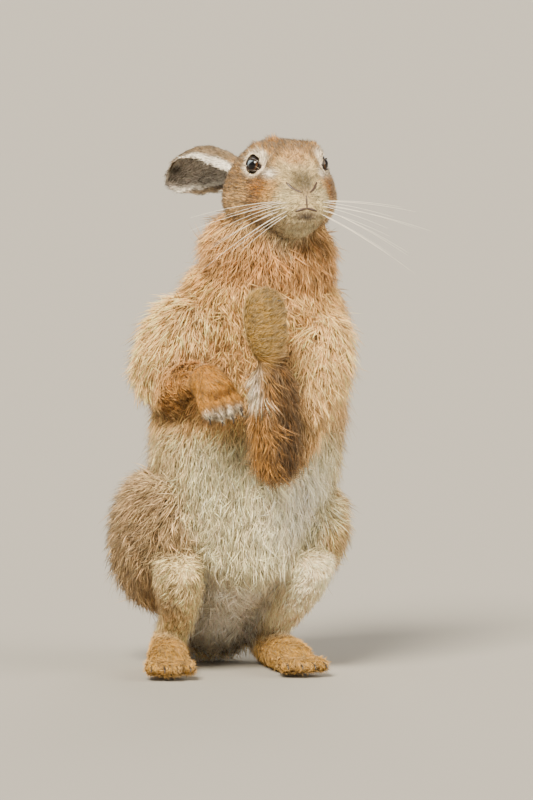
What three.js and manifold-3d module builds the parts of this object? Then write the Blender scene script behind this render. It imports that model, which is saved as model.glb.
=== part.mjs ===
// A life-size brown hare that sits up on its haunches with one forepaw raised and one ear turned out.
// Millimetres, +Z up. The hare faces -Y, so its left side is +X. The floor is z = 0.
import * as THREE from "three";
import { mergeVertices } from "three/addons/utils/BufferGeometryUtils.js";
import Module from "manifold-3d";

const wasm = await Module();
wasm.setup();

// Driving sizes. A grown brown hare: 140 mm hind foot, 104 mm ear, 115 mm head, 450 mm tall as it sits up.
const GAP = 0.3; // between touching nodes
const EAR_LENGTH = 104;
const EAR_THICK = 2.2;
const EYE_RADIUS = 9.5;
const WHISKER_RADIUS = 0.5;
const WHISKERS_A_SIDE = 9;
const HEAD_CENTRE = new THREE.Vector3(32.5, -75, 405);
const HEAD_YAW = 0.1; // radians, towards the hare's left
const FLOOR_BLOCK = 700; // side of the block that trims the soles flat

// Small helpers for vectors and solids
const vec = (x, y, z) => new THREE.Vector3(x, y, z);
const EYE_SIDES = { right: -1, left: 1 };

// A closed three.js geometry as a manifold solid.
function solidOf(geometry) {
  const plain = geometry.clone();
  plain.deleteAttribute("normal");
  plain.deleteAttribute("uv");
  const merged = mergeVertices(plain, 1e-4);
  return new wasm.Manifold(
    new wasm.Mesh({
      numProp: 3,
      vertProperties: new Float32Array(merged.attributes.position.array),
      triVerts: new Uint32Array(merged.index.array),
    }),
  );
}

// The largest closed body of a solid: a cut's loose scraps are dropped.
function largest(solid) {
  const bodies = solid.decompose();
  return bodies.reduce((a, b) => (b.volume() > a.volume() ? b : a));
}

function geometryOf(solid) {
  const mesh = solid.getMesh();
  const points = new Float32Array(mesh.numVert * 3);
  for (let i = 0; i < mesh.numVert; i++)
    points.set(
      mesh.vertProperties.subarray(i * mesh.numProp, i * mesh.numProp + 3),
      i * 3,
    );
  const geometry = new THREE.BufferGeometry();
  geometry.setAttribute("position", new THREE.BufferAttribute(points, 3));
  geometry.setIndex(new THREE.BufferAttribute(new Uint32Array(mesh.triVerts), 1));
  geometry.computeVertexNormals();
  return geometry;
}

const joined = (first, ...others) => others.reduce((a, b) => a.add(b), first);
const without = (first, ...others) => others.reduce((a, b) => a.subtract(b), first);

// A loft: a sphere whose poles are drawn out along a path. Each section is [x, y, z, half width, half depth];
// the path and the half sizes run smoothly through the sections, and the ends close as a rounded dome.
// side is the direction of the half width. bumps are swellings [x, y, z, height, reach] pushed out of the skin.
function loft(sections, options = {}) {
  const { around = 20, rings = 16, side = [1, 0, 0], fullness = 4, grow = 0, bumps = [] } = options;
  const path = new THREE.CatmullRomCurve3(sections.map((s) => vec(s[0], s[1], s[2])), false, "catmullrom", 0.5);
  const sizes = new THREE.CatmullRomCurve3(sections.map((s) => vec(s[3], s[4], 0)), false, "catmullrom", 0.5);
  const ball = new THREE.SphereGeometry(1, around, rings);
  const spots = ball.attributes.position;
  const wanted = vec(...side).normalize();
  for (let i = 0; i < spots.count; i++) {
    const p = vec().fromBufferAttribute(spots, i);
    const u = 0.5 + 0.5 * Math.min(1, Math.max(-1, p.y)); // 0 at the first section, 1 at the last
    const turn = Math.hypot(p.x, p.z) < 1e-6 ? [0, 0] : [p.x / Math.hypot(p.x, p.z), p.z / Math.hypot(p.x, p.z)];
    const close = Math.pow(Math.max(0, 1 - Math.pow(Math.abs(2 * u - 1), fullness)), 1 / fullness);
    const at = path.getPoint(u);
    const along = path.getTangent(u);
    const across = wanted.clone().addScaledVector(along, -wanted.dot(along)).normalize();
    const deep = vec().crossVectors(across, along);
    const half = sizes.getPoint(u);
    at.addScaledVector(along, grow * (2 * u - 1));
    const out = across.clone().multiplyScalar((half.x + grow) * turn[0] * close);
    out.addScaledVector(deep, (half.y + grow) * turn[1] * close);
    const outward = out.clone().normalize();
    at.add(out);
    for (const [x, y, z, height, reach] of bumps) {
      const away = at.distanceTo(vec(x, y, z)) / reach;
      at.addScaledVector(outward, height * Math.exp(-away * away));
    }
    spots.setXYZ(i, at.x, at.y, at.z);
  }
  return solidOf(ball);
}

// The head's own directions: forward to the nose, left, and up
const FORWARD = vec(Math.sin(HEAD_YAW), -Math.cos(HEAD_YAW), 0);
const LEFT = vec(Math.cos(HEAD_YAW), Math.sin(HEAD_YAW), 0);
const headPoint = (forward, left, up) =>
  HEAD_CENTRE.clone().addScaledVector(FORWARD, forward).addScaledVector(LEFT, left).add(vec(0, 0, up));
const headList = (forward, left, up) => headPoint(forward, left, up).toArray();

// Head sections along its length: forward, up, half width, half depth
const HEAD_SECTIONS = [
  [-52, 2, 26, 28],
  [-38, 1, 38, 38],
  [-20, 1, 43, 42],
  [0, 1, 42, 42],
  [18, -2, 36, 38],
  [36, -7, 28, 30],
  [50, -8, 23.5, 24],
  [61, -6, 15, 18],
].map(([forward, up, wide, deep]) => [...headList(forward, 0, up), wide, deep]);

// Paired swellings and hollows of the face: forward, left, up, height, reach
const FACE_PAIRS = [
  [7, 26, 35, 8, 11], // brow over the eye
  [14, 31, 22, -3.5, 9], // socket round the eye
  [28, 23, 14, -3, 10], // hollow in front of the eye
  [-8, 40, -14, 7, 22], // cheek
  [50, 14, -12, 4, 10], // whisker pad
];
const FACE_MIDDLE = [
  [62, 0, 3, 4, 7], // nose
  [34, 0, -31, 3, 10], // chin
  [40, 0, 22, 1.5, 12], // bridge of the nose
];
const HEAD_BUMPS = [
  ...FACE_MIDDLE.map(([f, l, u, height, reach]) => [...headList(f, l, u), height, reach]),
  ...FACE_PAIRS.flatMap(([f, l, u, height, reach]) =>
    [-1, 1].map((s) => [...headList(f, s * l, u), height, reach])),
];
const headForm = (grow) =>
  loft(HEAD_SECTIONS, { around: 32, rings: 28, side: LEFT.toArray(), fullness: 3, grow, bumps: HEAD_BUMPS });

// An eye looks out sideways, a little forward and up.
const eyeCentre = (s) => headPoint(12, s * 25.5, 23);
const eyeLook = (s) =>
  FORWARD.clone().multiplyScalar(0.35).addScaledVector(LEFT, s).add(vec(0, 0, 0.12)).normalize();
const EYE_LID = { out: 4.6, ring: 8.4, tube: 2.1 };

function ball(centre, radius, around = 14, rings = 10) {
  const shape = new THREE.SphereGeometry(radius, around, rings);
  return solidOf(shape.translate(centre.x, centre.y, centre.z));
}

function lidRing(s) {
  const ring = new THREE.TorusGeometry(EYE_LID.ring, EYE_LID.tube, 5, 14);
  ring.applyQuaternion(new THREE.Quaternion().setFromUnitVectors(vec(0, 0, 1), eyeLook(s)));
  const at = eyeCentre(s).addScaledVector(eyeLook(s), EYE_LID.out);
  return solidOf(ring.translate(at.x, at.y, at.z));
}

// A thin groove's cutter: a loft through points of the face, forward, left and up, with a half width and depth
const groove = (points, half, depth, side = [0, 0, 1]) =>
  loft(points.map((p) => [...headList(...p), half, depth]), { around: 6, rings: 9, side, fullness: 3 });

// Mouth corners, the line of the lips, the split upper lip, and the two slits of the nose
function faceCuts() {
  const mouth = groove([[44, -17, -24], [55, -9, -20], [60, 0, -17.5], [55, 9, -20], [44, 17, -24]], 0.9, 5);
  const lipSplit = groove([[60, 0, -18], [64, 0, -10], [66, 0, -3]], 0.8, 4, LEFT.toArray());
  const nostrils = [-1, 1].map((s) =>
    groove([[66, s * 1.5, -2], [65, s * 6, 1.5], [61, s * 10.5, 5]], 1.0, 3.5));
  return joined(mouth, lipSplit, ...nostrils);
}

// Whiskers: fine spines from the pads, longest behind, swept back and drooping. The draw is a seeded sequence.
function seeded(seed) {
  let state = seed;
  return () => {
    state = (state * 1664525 + 1013904223) % 4294967296;
    return state / 4294967296;
  };
}

const WHISKER_REACH = { right: 82, left: 100 };
function whiskers(side) {
  const s = EYE_SIDES[side];
  const draw = seeded(s > 0 ? 11 : 29);
  const made = [];
  for (let k = 0; k < WHISKERS_A_SIDE; k++) {
    const row = k % 3;
    const rank = Math.floor(k / 3);
    const root = headPoint(53 - 6 * rank, s * (14 + 2.5 * rank), -9 - 3.5 * row);
    const length = WHISKER_REACH[side] * (0.72 + 0.14 * rank + 0.08 * draw());
    const drop = 0.08 + 0.26 * row + 0.12 * draw();
    const away = LEFT.clone().multiplyScalar(s).addScaledVector(FORWARD, 0.34 - 0.3 * rank + 0.1 * draw());
    away.add(vec(0, 0, -drop)).normalize();
    const points = [-0.06, 0.25, 0.6, 1].map((u) => {
      const p = root.clone().addScaledVector(away, u * length);
      p.z -= 0.1 * length * u * u;
      return [...p.toArray(), WHISKER_RADIUS * (1.15 - 0.8 * u), WHISKER_RADIUS * (1.15 - 0.8 * u)];
    });
    made.push(loft(points, { around: 3, rings: 6, side: [0, 0, 1], fullness: 4 }));
  }
  return made;
}

// An ear is a bent sheet: a box whose width is wrapped round the ear's line and whose height is the gristle's
// thickness. Each stage is [share of the length, radius, half angle in degrees of the wrap, thickness share].
const EAR_STAGES = [
  [0, 11, 150, 1.3],
  [0.18, 17, 138, 1.1],
  [0.42, 21, 120, 1],
  [0.68, 19, 106, 0.95],
  [0.87, 12.5, 92, 0.8],
  [1, 3.5, 75, 0.6],
];
const EAR_FLAT = 0.82; // depth of the cup against its width

function stage(stages, u, column) {
  const k = Math.max(1, stages.findIndex((s) => s[0] >= u));
  const [low, high] = [stages[k - 1], stages[k]];
  const t = (u - low[0]) / (high[0] - low[0]);
  return THREE.MathUtils.lerp(low[column], high[column], t * t * (3 - 2 * t));
}

// line is the ear's curve from root to tip, and open the way that its cup faces.
function earForm(line, open) {
  const curve = new THREE.CatmullRomCurve3(line.map((p) => vec(...p)));
  const sheet = new THREE.BoxGeometry(1, 1, 1, 12, 1, 11);
  const spots = sheet.attributes.position;
  for (let i = 0; i < spots.count; i++) {
    const u = Math.min(1, Math.max(0, spots.getZ(i) + 0.5));
    const along = curve.getTangentAt(u);
    const facing = open.clone().addScaledVector(along, -open.dot(along)).normalize();
    const across = vec().crossVectors(along, facing);
    const share = spots.getX(i) * 2; // -1 and 1 at the two rims
    const turn = share * THREE.MathUtils.degToRad(stage(EAR_STAGES, u, 2));
    const thick = EAR_THICK * stage(EAR_STAGES, u, 3) * (1 - 0.45 * share * share);
    const radius = stage(EAR_STAGES, u, 1) + thick * spots.getY(i);
    const at = curve.getPointAt(u);
    at.addScaledVector(facing, -radius * EAR_FLAT * Math.cos(turn));
    at.addScaledVector(across, radius * Math.sin(turn));
    spots.setXYZ(i, at.x, at.y, at.z);
  }
  const made = solidOf(sheet);
  return made.volume() > 0 ? made : solidOf(flipped(sheet));
}

function flipped(geometry) {
  const turned = geometry.clone();
  const index = turned.index.array;
  for (let i = 0; i < index.length; i += 3) [index[i + 1], index[i + 2]] = [index[i + 2], index[i + 1]];
  return turned;
}

const EAR_ROOT = { right: headPoint(-34, -26, 14), left: headPoint(-34, 26, 14) };
const EAR_LINES = {
  right: [EAR_ROOT.right, vec(-14, -6, 421), vec(-36, 38, 406)],
  left: [EAR_ROOT.left, vec(64, 0, 410), vec(60, 42, 374)],
};
const EAR_OPEN = { right: vec(-0.72, -0.5, -0.6), left: vec(0.85, 0.1, -0.5) };

// The ear's line keeps its direction and is scaled from its root to the ear's real length.
function earLine(side) {
  const points = EAR_LINES[side];
  const curve = new THREE.CatmullRomCurve3(points);
  const scale = EAR_LENGTH / curve.getLength();
  return points.map((p) => p.clone().sub(points[0]).multiplyScalar(scale).add(points[0]).toArray());
}
const ear = (side) => earForm(earLine(side), EAR_OPEN[side]);

// Trunk: rump, pelvis, belly, waist, chest and shoulders, from the floor up
const TRUNK_SECTIONS = [
  [0, 60, 6, 38, 34],
  [1, 52, 36, 52, 46],
  [4, 31, 76, 60, 60],
  [7, 8, 115, 66, 74],
  [10, -7, 150, 73, 82],
  [14, -16, 185, 81, 81],
  [17, -21, 220, 79, 77],
  [19, -27, 255, 77, 73],
  [21, -36, 290, 74, 68],
  [22, -44, 320, 68, 62],
  [24, -50, 345, 59, 55],
  [29, -55, 368, 45, 46],
];
const NECK_SECTIONS = [
  [23, -46, 330, 57, 53],
  [26, -51, 350, 56, 53],
  [30, -57, 372, 49, 49],
  [34, -62, 396, 40, 41],
];
const TAIL_SECTIONS = [
  [2, 74, 34, 13, 13],
  [3, 98, 22, 16, 14],
  [5, 122, 13, 15, 14],
  [6, 144, 9, 9, 10],
];
const BELLY = [[8, -64, 92, 15, 40]]; // the belly's hang between the thighs
const trunkForm = (grow) => loft(TRUNK_SECTIONS, { around: 26, rings: 24, grow, bumps: BELLY });
const neckForm = (grow) => loft(NECK_SECTIONS, { around: 22, rings: 8, grow });
const tailForm = (grow) => loft(TAIL_SECTIONS, { around: 12, rings: 10, grow });

// Limbs, as sections of [x, y, z, half width, half depth]. The hind feet lie flat from hock to toes.
const LIMBS = {
  thigh_right: [
    [-36, 72, 84, 34, 46],
    [-47, 42, 98, 42, 57],
    [-49, 6, 118, 42, 57],
    [-52, -32, 122, 38, 52],
    [-55, -64, 118, 27, 38],
  ],
  thigh_left: [
    [42, 72, 84, 34, 46],
    [52, 42, 98, 42, 57],
    [58, 6, 120, 42, 57],
    [62, -32, 124, 38, 52],
    [63, -64, 120, 27, 38],
  ],
  shank_right: [
    [-54, -64, 104, 23, 28],
    [-50, -46, 80, 20, 25],
    [-44, -16, 56, 15.5, 20],
    [-41, 12, 38, 13.5, 17],
    [-41, 36, 22, 13, 15],
  ],
  shank_left: [
    [62, -64, 106, 23, 28],
    [57, -46, 80, 20, 25],
    [50, -16, 56, 15.5, 20],
    [46, 12, 38, 13.5, 17],
    [45, 36, 22, 13, 15],
  ],
  hindfoot_right: [
    [-41, 49, 14, 13.5, 17],
    [-44, 26, 15.5, 15, 18],
    [-51, -6, 14.5, 16, 16.5],
    [-58, -40, 13.5, 17.5, 15.5],
    [-64, -72, 12.5, 19.5, 14.5],
  ],
  hindfoot_left: [
    [45, 49, 14, 13.5, 17],
    [45, 26, 15.5, 15, 18],
    [45, -6, 14.5, 16, 16.5],
    [46, -40, 13.5, 17.5, 15.5],
    [48, -72, 12.5, 19.5, 14.5],
  ],
  upper_arm_right: [
    [-24, -50, 312, 28, 40],
    [-44, -46, 284, 33, 40],
    [-57, -36, 256, 29, 34],
    [-63, -26, 233, 20.5, 23],
  ],
  upper_arm_left: [
    [62, -46, 304, 34, 42],
    [54, -70, 268, 36, 40],
    [38, -92, 230, 30, 32],
    [24, -106, 200, 24, 24],
    [15, -114, 178, 17, 17],
  ],
  forearm_right: [
    [-60, -24, 235, 16.5, 18],
    [-57, -58, 242, 16.5, 17],
    [-52, -92, 251, 14.5, 14.5],
    [-47, -120, 257, 13, 13],
  ],
  forearm_left: [
    [16, -121, 176, 15, 15],
    [11, -134, 206, 16.5, 16.5],
    [8, -143, 240, 14.5, 14.5],
    [4, -147, 272, 13, 13],
  ],
};
const LIMB_MESH = {
  thigh: { around: 18, rings: 14, fullness: 3 },
  shank: { around: 14, rings: 10 },
  hindfoot: { around: 14, rings: 14 },
  upper_arm: { around: 16, rings: 12 },
  forearm: { around: 14, rings: 10 },
};
const limb = (part, side, grow) => loft(LIMBS[`${part}_${side}`], { ...LIMB_MESH[part], grow });

// Paws: a pad of the foot and its toes, each with a small curved claw. ahead runs to the toe tips, across spans
// the toes, and palm is the way the pads face.
const PAWS = {
  forepaw_right: {
    pad: [[-47, -117, 258, 13.5, 13], [-42, -130, 249, 16, 13], [-36, -140, 238, 18, 12.5]],
    base: [-38, -137, 240], ahead: [0.3, -0.42, -0.86], across: [0.93, 0.3, 0.18], palm: [-0.15, 0.8, -0.55],
    toes: 4, spread: 9.6, reach: 20, radius: 6.6, claw: 6,
  },
  forepaw_left: {
    pad: [[4, -147, 268, 13.5, 13], [1.5, -149.5, 288, 16.5, 14], [-0.5, -150.5, 306, 18, 14.5],
      [-1.5, -151, 320, 15.5, 12.5], [-2, -151, 329, 9, 7.5]],
    base: [3, -153, 303], ahead: [0.8, -0.59, 0.1], across: [-0.1, 0.04, 0.99], palm: [0.59, 0.8, 0],
    toes: 4, spread: 9.4, reach: 13, radius: 6.2, claw: 5,
  },
  hindfoot_right: {
    base: [-63.5, -68, 10], ahead: [-0.14, -0.99, -0.03], across: [0.99, -0.12, 0], palm: [0, 0, -1],
    toes: 4, spread: 10, reach: 29, radius: 7.4, claw: 8,
  },
  hindfoot_left: {
    base: [47.5, -68, 10], ahead: [0.05, -1, -0.03], across: [1, 0.05, 0], palm: [0, 0, -1],
    toes: 4, spread: 10, reach: 29, radius: 7.4, claw: 8,
  },
};

function toes(name) {
  const { base, ahead, across, palm, toes: count, spread, reach, radius, claw } = PAWS[name];
  const [root, front, span, sole] = [base, ahead, across, palm].map((v) => vec(...v));
  front.normalize();
  const made = [];
  for (let k = 0; k < count; k++) {
    const slot = k - (count - 1) / 2;
    const length = reach * (1 - 0.09 * slot * slot);
    const at = (along, out, sunk) =>
      root.clone().addScaledVector(front, along).addScaledVector(span, slot * out).addScaledVector(sole, sunk);
    const toe = [at(-6, spread * 0.8, 0), at(length * 0.5, spread, -0.6), at(length, spread * 1.06, 1)];
    made.push(loft(toe.map((p, i) => [...p.toArray(), radius * (1 - 0.08 * i), radius * (1 - 0.08 * i)]),
      { around: 7, rings: 6, side: across }));
    const nail = [at(length - 4, spread * 1.06, -1.5), at(length + 0.6 * claw, spread * 1.08, -1),
      at(length + claw, spread * 1.1, 1)];
    made.push(loft(nail.map((p, i) => [...p.toArray(), 1.7 - 0.55 * i, 1.9 - 0.6 * i]),
      { around: 4, rings: 4, side: across, fullness: 3 }));
  }
  return made;
}

function forepaw(side, grow) {
  const name = `forepaw_${side}`;
  const pad = loft(PAWS[name].pad, { around: 12, rings: 8, grow });
  return grow ? pad : joined(pad, ...toes(name));
}

// The floor trims what rests on it to small flats at one level.
const belowFloor = solidOf(new THREE.BoxGeometry(FLOOR_BLOCK, FLOOR_BLOCK, FLOOR_BLOCK)
  .translate(0, 0, -FLOOR_BLOCK / 2));

// Each flesh form less the grown forms of what it grows from, so that they meet with the gap.
const grownTrunk = trunkForm(GAP);
const grownHead = headForm(GAP);
const solids = new Map();
for (const side of ["right", "left"]) {
  const s = EYE_SIDES[side];
  const upperArm = (grow) => limb("upper_arm", side, grow);
  const forearm = (grow) => limb("forearm", side, grow);
  const thigh = (grow) => limb("thigh", side, grow);
  const shank = (grow) => limb("shank", side, grow);
  solids.set(`upper_arm_${side}`, without(upperArm(0), grownTrunk, neckForm(GAP)));
  solids.set(`forearm_${side}`, without(forearm(0), grownTrunk, upperArm(GAP)));
  solids.set(`forepaw_${side}`, without(forepaw(side, 0), grownTrunk, forearm(GAP)));
  solids.set(`thigh_${side}`, without(thigh(0), grownTrunk));
  solids.set(`shank_${side}`, without(shank(0), grownTrunk, thigh(GAP)));
  const foot = joined(limb("hindfoot", side, 0), ...toes(`hindfoot_${side}`));
  solids.set(`hindfoot_${side}`, without(foot, belowFloor, thigh(GAP), shank(GAP), grownTrunk));
  solids.set(`ear_${side}`, without(ear(side), grownHead, neckForm(GAP), grownTrunk));
  solids.set(`eye_${side}`, ball(eyeCentre(s), EYE_RADIUS));
}

// Head and muzzle are one form parted by a thin cut behind the mouth's corners.
const MUZZLE_CUT = 31; // forward of the head's centre
const CHEST_FLOOR = 214; // height where chest and belly part
const skull = without(joined(headForm(0), lidRing(1), lidRing(-1)), faceCuts(),
  ...[1, -1].map((s) => ball(eyeCentre(s), EYE_RADIUS + GAP)));
const cutAt = FORWARD.dot(HEAD_CENTRE) + MUZZLE_CUT;
solids.set("head", skull.trimByPlane(FORWARD.clone().negate().toArray(), -(cutAt - GAP / 2)));
solids.set("muzzle", joined(skull.trimByPlane(FORWARD.toArray(), cutAt + GAP / 2),
  ...whiskers("right"), ...whiskers("left")));
solids.set("neck", without(neckForm(0), grownHead, grownTrunk));
const trunk = without(trunkForm(0), belowFloor, grownHead);
solids.set("chest", trunk.trimByPlane([0, 0, 1], CHEST_FLOOR + GAP / 2));
solids.set("abdomen", trunk.trimByPlane([0, 0, -1], -(CHEST_FLOOR - GAP / 2)));
solids.set("tail", without(tailForm(0), grownTrunk, belowFloor));

// Finishes: colour, roughness
const FINISH = {
  tawny: new THREE.MeshStandardMaterial({ color: "#b58a5a", roughness: 0.95, metalness: 0 }),
  cream: new THREE.MeshStandardMaterial({ color: "#ddd0b6", roughness: 0.95, metalness: 0 }),
  sandy: new THREE.MeshStandardMaterial({ color: "#cf9f63", roughness: 0.95, metalness: 0 }),
  grizzled: new THREE.MeshStandardMaterial({ color: "#9a8670", roughness: 0.95, metalness: 0 }),
  eye: new THREE.MeshStandardMaterial({ color: "#2a1a0e", roughness: 0.08, metalness: 0 }),
};
const COAT = { abdomen: "cream", tail: "cream", eye: "eye", ear: "grizzled", head: "grizzled", muzzle: "cream",
  forepaw: "sandy", hindfoot: "sandy", forearm: "sandy", shank: "sandy" };
const coatOf = (name) => COAT[name.replace(/_(right|left)$/, "")] ?? "tawny";

const hare = new THREE.Group();
for (const [name, solid] of solids) {
  const mesh = new THREE.Mesh(geometryOf(largest(solid)), FINISH[coatOf(name)]);
  mesh.name = name;
  hare.add(mesh);
}

// The origin is the middle of the hare's outline on the floor.
const outline = new THREE.Box3().setFromObject(hare);
const middle = outline.getCenter(vec());
hare.position.set(-middle.x, -middle.y, 0);

export default hare;
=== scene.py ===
# %% [markdown]
# # A brown hare that sits up
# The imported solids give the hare's outline near the tips of its coat. This lesson grows one smooth skin
# inside them and sets the eyes, lids, nose, mouth, claws and whiskers on it. A coat of many small bent
# tufts then follows the lie of the fur.
# All places are in the maker's millimetres: the hare faces -Y, its left side is +X and the floor is z = 0.

import bpy
import numpy as np
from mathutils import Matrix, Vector
from mathutils.bvhtree import BVHTree


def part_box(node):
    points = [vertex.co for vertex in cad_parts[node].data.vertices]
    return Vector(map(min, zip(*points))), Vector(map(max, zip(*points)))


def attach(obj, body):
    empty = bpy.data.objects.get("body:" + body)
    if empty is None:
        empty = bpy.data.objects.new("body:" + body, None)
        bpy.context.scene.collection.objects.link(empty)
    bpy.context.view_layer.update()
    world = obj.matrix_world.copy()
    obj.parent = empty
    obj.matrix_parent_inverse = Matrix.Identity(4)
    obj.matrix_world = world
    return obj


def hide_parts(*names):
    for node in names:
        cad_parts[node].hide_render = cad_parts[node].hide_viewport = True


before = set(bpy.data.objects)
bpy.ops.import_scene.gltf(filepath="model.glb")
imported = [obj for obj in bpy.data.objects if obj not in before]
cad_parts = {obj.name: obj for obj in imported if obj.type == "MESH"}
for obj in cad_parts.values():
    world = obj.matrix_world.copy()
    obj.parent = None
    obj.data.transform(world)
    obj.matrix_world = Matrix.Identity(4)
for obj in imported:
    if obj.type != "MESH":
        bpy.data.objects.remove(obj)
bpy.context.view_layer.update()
MM = 0.001  # metres in a millimetre
SIDES = {"right": -1, "left": 1}
UP = np.array([0.0, 0.0, 1.0])


def unit(v):
    """Vectors of length 1 along the last axis: v divided by its length."""
    v = np.asarray(v, float)
    return v / np.maximum(np.linalg.norm(v, axis=-1, keepdims=True), 1e-12)


def ramp(x, low, high):
    """0 below low, 1 above high, and a smooth S between: t t (3 - 2 t)."""
    t = np.clip((np.asarray(x) - low) / (high - low), 0, 1)
    return t * t * (3 - 2 * t)


# %% [markdown]
# The head has directions of its own: forward to the nose, left, and up. The middle of the right eyeball is
# known in both systems, in the maker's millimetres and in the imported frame, so it ties the two together.

# %% The head's directions, and the tie to the frame
HEAD_CENTRE = np.array([32.5, -75.0, 405.0])
HEAD_YAW = 0.1
FORWARD = np.array([np.sin(HEAD_YAW), -np.cos(HEAD_YAW), 0.0])
LEFT = np.array([np.cos(HEAD_YAW), np.sin(HEAD_YAW), 0.0])
EYE_PLACE = (12.0, 25.5, 23.0)  # forward, sideways and up from the head's centre


def head_point(forward, left, up):
    """HEAD_CENTRE + forward FORWARD + left LEFT + up UP, for numbers or arrays."""
    pairs = ((forward, FORWARD), (left, LEFT), (up, UP))
    parts = [np.asarray(k, float)[..., None] * axis for k, axis in pairs]
    return HEAD_CENTRE + parts[0] + parts[1] + parts[2]


def head_parts(points):
    """The head's own coordinates of points: their offsets from HEAD_CENTRE along FORWARD, LEFT and UP."""
    away = points - HEAD_CENTRE
    return away @ FORWARD, away @ LEFT, away @ UP


def eye_centre(side):
    """The middle of an eyeball: EYE_PLACE from the head's centre, out to its own side."""
    forward, out, up = EYE_PLACE
    return head_point(forward, SIDES[side] * out, up)


eye_low, eye_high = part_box("eye_right")
SHIFT = (np.array(eye_low) + np.array(eye_high)) / 2 / MM - eye_centre("right")
EYE_RADIUS = (eye_high.x - eye_low.x) / 2 / MM
print("shift from the maker's millimetres to the frame", SHIFT.round(2), "eye radius", round(EYE_RADIUS, 2))

# %% [markdown]
# The camera stands 6 m off, a little to the hare's right and just above its middle, so the picture has the
# flat look of a long lens. One pixel of the 533 x 800 picture is 0.845 mm at the hare.

# %% The camera
PIXEL = 0.845
PICTURE = (533, 800)
STAND_PIXEL = (225.0, 668.0)  # where the maker's origin shows
AZIMUTH, ELEVATION, DISTANCE = np.radians(-13.0), np.radians(4.0), 6000.0
sight_right = np.array([np.cos(AZIMUTH), np.sin(AZIMUTH), 0.0])
sight_back = np.array([
    np.sin(AZIMUTH) * np.cos(ELEVATION),
    -np.cos(AZIMUTH) * np.cos(ELEVATION),
    np.sin(ELEVATION),
])
sight_up = np.cross(sight_back, sight_right)


def make_camera():
    """Looks at the picture's middle: the origin moved by the pixels between it and the middle."""
    across = (PICTURE[0] / 2 - STAND_PIXEL[0]) * PIXEL
    rise = (STAND_PIXEL[1] - PICTURE[1] / 2) * PIXEL
    target = sight_right * across + sight_up * rise
    camera = bpy.data.objects.new("camera", bpy.data.cameras.new("camera"))
    camera.data.sensor_width = 36.0
    camera.data.lens = 36.0 * DISTANCE / (PICTURE[1] * PIXEL)
    camera.data.clip_end = 100.0
    camera.location = (target + sight_back * DISTANCE + SHIFT) * MM
    camera.rotation_mode = "QUATERNION"
    camera.rotation_quaternion = Vector(-sight_back).to_track_quat("-Z", "Y")
    bpy.context.scene.collection.objects.link(camera)
    bpy.context.scene.camera = camera


make_camera()
print("lens", round(bpy.context.scene.camera.data.lens, 1), "mm")

# %% [markdown]
# Colours are given as sRGB hex values, the way a painter's chart gives them, and one function turns them to
# the linear values that a renderer adds up. One more function adds a node to a material.

# %% Colours and nodes
def linear(code):
    """Linear red, green and blue of an sRGB hex code: c / 12.92 where c is up to 0.04045, and
    ((c + 0.055) / 1.055) ^ 2.4 above."""
    c = np.array([int(code[i:i + 2], 16) for i in (1, 3, 5)]) / 255
    return np.where(c <= 0.04045, c / 12.92, ((c + 0.055) / 1.055) ** 2.4)


def paint(code):
    """An sRGB hex code as the four numbers of a colour socket."""
    return (*linear(code), 1.0)


def new_material(name, **sockets):
    """A material with a Principled shader whose sockets take the values given."""
    material = bpy.data.materials.new(name)
    material.use_nodes = True
    shader = material.node_tree.nodes["Principled BSDF"]
    for socket, value in sockets.items():
        shader.inputs[socket.replace("_", " ")].default_value = value
    return material, shader


def add(material, kind, values=None, links=None, **settings):
    """Adds a node: settings are its properties, values its sockets, links its sockets fed from others."""
    node = material.node_tree.nodes.new(kind)
    for key, value in settings.items():
        setattr(node, key, value)
    for key, value in (values or {}).items():
        node.inputs[key].default_value = value
    for key, source in (links or {}).items():
        material.node_tree.links.new(source, node.inputs[key])
    return node


def feed(material, socket, source):
    """Links a node's output to a socket."""
    material.node_tree.links.new(source, socket)


def feed_coat_colour(material, shader):
    """Gives the shader the colours of the mesh's points, from the layer named coat."""
    # the coat layer holds the markings and also painted shade, painted light and the eyes' painted
    # reflection
    markings_and_painted_light = add(material, "ShaderNodeVertexColor", layer_name="coat")
    feed(material, shader.inputs["Base Color"], markings_and_painted_light.outputs["Color"])


# %% Meshes from arrays
def make_piece(name, points, faces, material, colours=None, bake_uv=None, smooth=True):
    """A mesh object: points in the maker's mm, faces of 3 or 4 corners, colours a row for each point."""
    faces = np.asarray(faces, np.int32)
    mesh = bpy.data.meshes.new(name)
    mesh.vertices.add(len(points))
    mesh.vertices.foreach_set("co", ((np.asarray(points) + SHIFT) * MM).astype(np.float32).ravel())
    mesh.loops.add(faces.size)
    mesh.loops.foreach_set("vertex_index", faces.ravel())
    mesh.polygons.add(len(faces))
    mesh.polygons.foreach_set("loop_start", np.arange(0, faces.size, faces.shape[1], dtype=np.int32))
    mesh.polygons.foreach_set("use_smooth", np.full(len(faces), smooth))
    mesh.update(calc_edges=True)
    if colours is not None:
        layer = mesh.color_attributes.new("coat", "FLOAT_COLOR", "POINT")
        rgba = np.ones((len(points), 4), np.float32)
        rgba[:, :3] = colours
        layer.data.foreach_set("color", rgba.ravel())
    if bake_uv is not None:
        layer = mesh.uv_layers.new(name="OFBake")
        layer.data.foreach_set("uv", bake_uv[faces.ravel()].astype(np.float32).ravel())
    mesh.materials.append(material)
    made = bpy.data.objects.new(name, mesh)
    bpy.context.scene.collection.objects.link(made)
    return made


def grid_faces(rows, columns):
    """Triangles between neighbouring rings of points. The columns wrap round."""
    r = np.arange(rows - 1)[:, None]
    c = np.arange(columns)[None, :]
    nxt = (c + 1) % columns
    a, b, c, d = (k.ravel() for k in (r * columns + c, r * columns + nxt, (r + 1) * columns + nxt,
                                      (r + 1) * columns + c))
    return np.concatenate([np.stack([a, b, c], axis=1), np.stack([a, c, d], axis=1)])


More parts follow.
